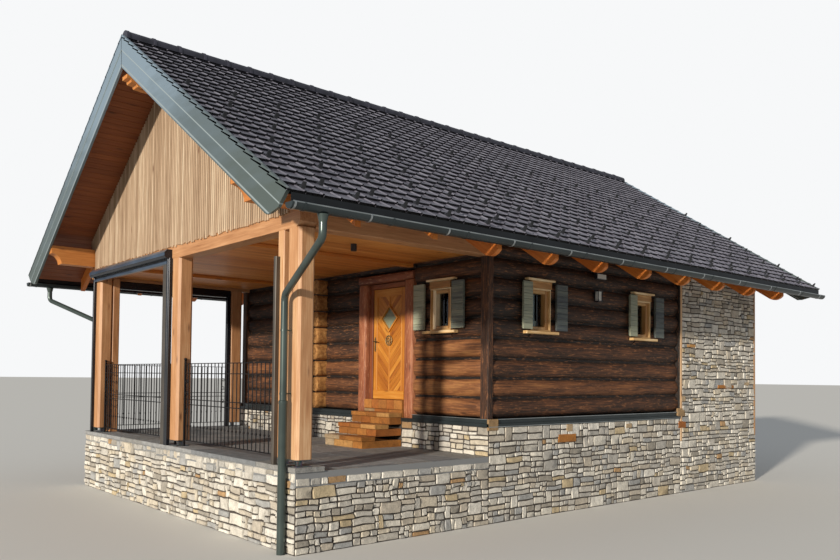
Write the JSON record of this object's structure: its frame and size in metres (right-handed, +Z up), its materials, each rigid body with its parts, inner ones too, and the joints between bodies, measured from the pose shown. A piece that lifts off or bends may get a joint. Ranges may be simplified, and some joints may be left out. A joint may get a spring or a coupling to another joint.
{
  "type": "alpine chalet",
  "caption": "Log cabin on a split stone plinth with a timber-framed terrace and a stone-clad rear room under one wide tiled gable roof; the plank door opens inwards.",
  "frame": {"origin": "middle of the plan over the lowest ground level, on the ground", "axes": "+Z up, +Y along the ridge from the terrace gable to the rear wall, +X across the gable to the side with the open terrace entry"},
  "size_m": [10.22, 13.13, 7.4999],
  "materials": {
    "stone": "rough split stone cladding, dry joints",
    "paving": "sawn grey slabs",
    "step_stone": "split ochre stone",
    "dark_metal": "anthracite powder coat, satin",
    "floor_boards": "oiled boards",
    "old_logs": "hewn, dark brown and weathered",
    "log_ends": "sawn end grain, ochre",
    "door_wood": "honey stained spruce, satin",
    "black_iron": "forged, black",
    "door_brass": "aged brass",
    "glass": "clear",
    "window_wood": "pale varnished spruce",
    "shutter_paint": "grey-green paint, matt",
    "larch": "planed larch, lightly oiled",
    "batten": "narrow vertical larch battens",
    "soffit": "orange brown glazed boards",
    "roof_tile": "anthracite interlocking tiles, satin",
    "verge_sheet": "grey-green coated sheet",
    "gutter_sheet": "dark grey coated sheet"
  },
  "bodies": {
    "house": {"terrace_base_front": "stone", "terrace_base_sides": "stone", "plinth_front": "stone", "plinth_sides": "stone", "stone_side_walls": "stone", "stone_wall_rear": "stone", "terrace_coping": "paving", "terrace_floor": "paving", "door_steps": "step_stone", "door_sill": "step_stone", "plinth_flashing": "dark_metal", "screen_frames": "dark_metal", "wall_lamps": "dark_metal", "post_feet": "dark_metal", "snow_guards": "dark_metal", "cabin_floor": "floor_boards", "floor_joists": "floor_boards", "log_side_walls": "old_logs", "log_wall_front_left": "old_logs", "log_wall_front_right": "old_logs", "log_wall_over_door": "old_logs", "cross_wall_ends": "log_ends", "corner_boards": "log_ends", "door_posts": "log_ends", "stone_edge_strips": "log_ends", "door_frame": "door_wood", "door_hinges": "black_iron", "railings": "black_iron", "window_glass": "glass", "window_frames": "window_wood", "window_heads": "window_wood", "window_sills": "window_wood", "shutters": "shutter_paint", "terrace_posts": "larch", "tie_beam": "larch", "side_plates": "larch", "purlins": "larch", "rafters": "larch", "gable_front": "batten", "gable_rear": "batten", "ceiling": "soffit", "ceiling_beams": "soffit", "roof_boards": "soffit", "roof_slope_left": "roof_tile", "roof_slope_right": "roof_tile", "ridge_cap": "roof_tile", "verge_boards": "verge_sheet", "gutters": "gutter_sheet", "downpipes": "gutter_sheet"},
    "door": {"door_leaf": "door_wood", "door_glass": "glass", "door_fittings": "door_brass", "hinge_barrels": "black_iron"}
  },
  "joints": [
    {"name": "door_swing", "type": "hinge", "parent": "house", "child": "door", "pos_m": [1.737, -2.185, 2.761], "axis": [0, 0, -1], "range_deg": [0, 100]}
  ]
}
